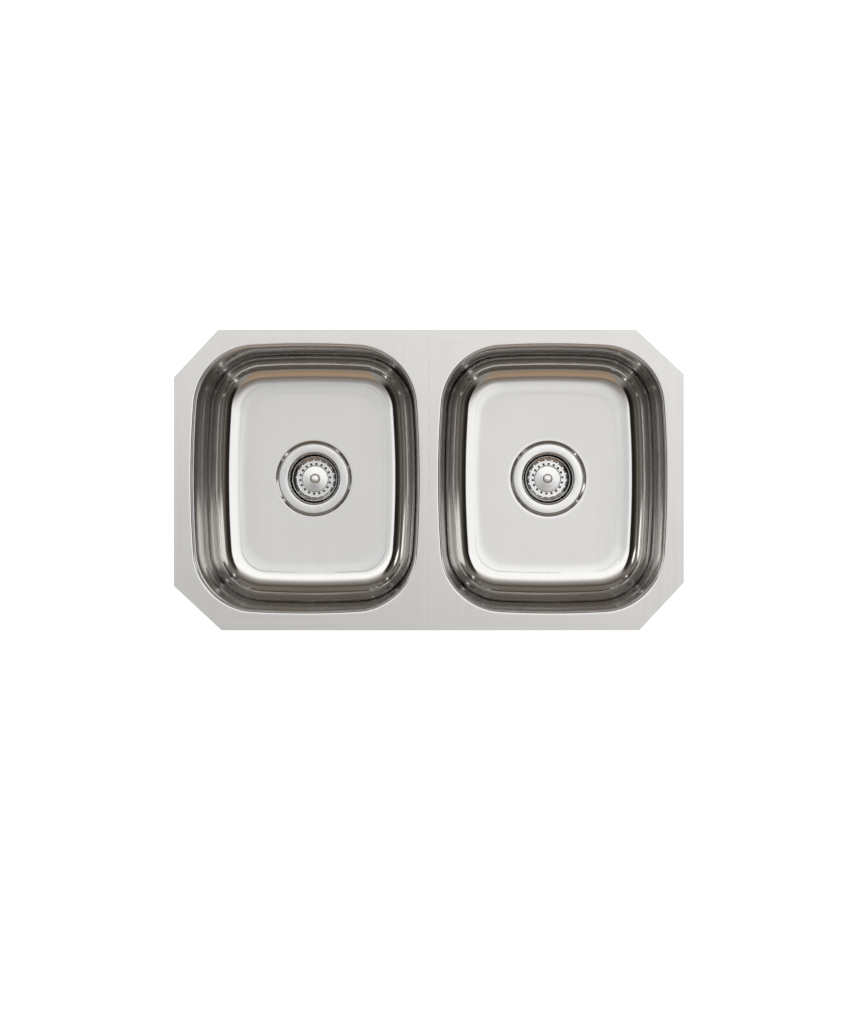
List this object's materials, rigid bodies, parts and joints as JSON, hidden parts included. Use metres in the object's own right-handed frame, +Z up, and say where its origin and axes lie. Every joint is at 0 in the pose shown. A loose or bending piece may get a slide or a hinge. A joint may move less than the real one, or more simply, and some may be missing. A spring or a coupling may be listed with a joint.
{
  "type": "double bowl kitchen sink",
  "caption": "Undermount stainless sink with side by side drawn bowls, a clipped-corner flat flange and lift-out basket strainers in the drains.",
  "frame": {"origin": "centre of the flange's flat top face, which meets the underside of the worktop", "axes": "+X to the right along the two bowls, +Y to the rear, +Z up out of the bowls"},
  "size_m": [0.78, 0.46, 0.261],
  "materials": {
    "sink_steel": "brushed flange, polished walls",
    "weld_steel": "as welded",
    "waste_steel": "polished",
    "pad_rubber": "matt",
    "seal_rubber": "satin",
    "fibre": "matt vulcanised fibre",
    "nut_plastic": "moulded",
    "sleeve_plastic": "moulded"
  },
  "bodies": {
    "sink": {"left_bowl": "sink_steel", "right_bowl": "sink_steel", "centre_weld": "weld_steel", "left_sound_pad": "pad_rubber", "right_sound_pad": "pad_rubber", "left_strainer_body": "waste_steel", "right_strainer_body": "waste_steel", "left_outlet_neck": "waste_steel", "right_outlet_neck": "waste_steel", "left_stem_guide": "waste_steel", "right_stem_guide": "waste_steel", "left_flange_seal": "seal_rubber", "right_flange_seal": "seal_rubber", "left_body_gasket": "seal_rubber", "right_body_gasket": "seal_rubber", "left_friction_ring": "fibre", "right_friction_ring": "fibre", "left_lock_nut": "nut_plastic", "right_lock_nut": "nut_plastic"},
    "left_basket": {"left_basket_cup": "waste_steel", "left_basket_knob": "waste_steel", "left_basket_stem": "waste_steel", "left_stopper_seal": "seal_rubber", "left_stopper_washer": "waste_steel", "left_stem_nut": "waste_steel", "left_stem_sleeve": "sleeve_plastic"},
    "right_basket": {"right_basket_cup": "waste_steel", "right_basket_knob": "waste_steel", "right_basket_stem": "waste_steel", "right_stopper_seal": "seal_rubber", "right_stopper_washer": "waste_steel", "right_stem_nut": "waste_steel", "right_stem_sleeve": "sleeve_plastic"}
  },
  "joints": [
    {"name": "left_basket_lift", "type": "slide", "parent": "sink", "child": "left_basket", "axis": [0, 0, 1], "range_m": [0, 0.26]},
    {"name": "right_basket_lift", "type": "slide", "parent": "sink", "child": "right_basket", "axis": [0, 0, 1], "range_m": [0, 0.26]}
  ]
}
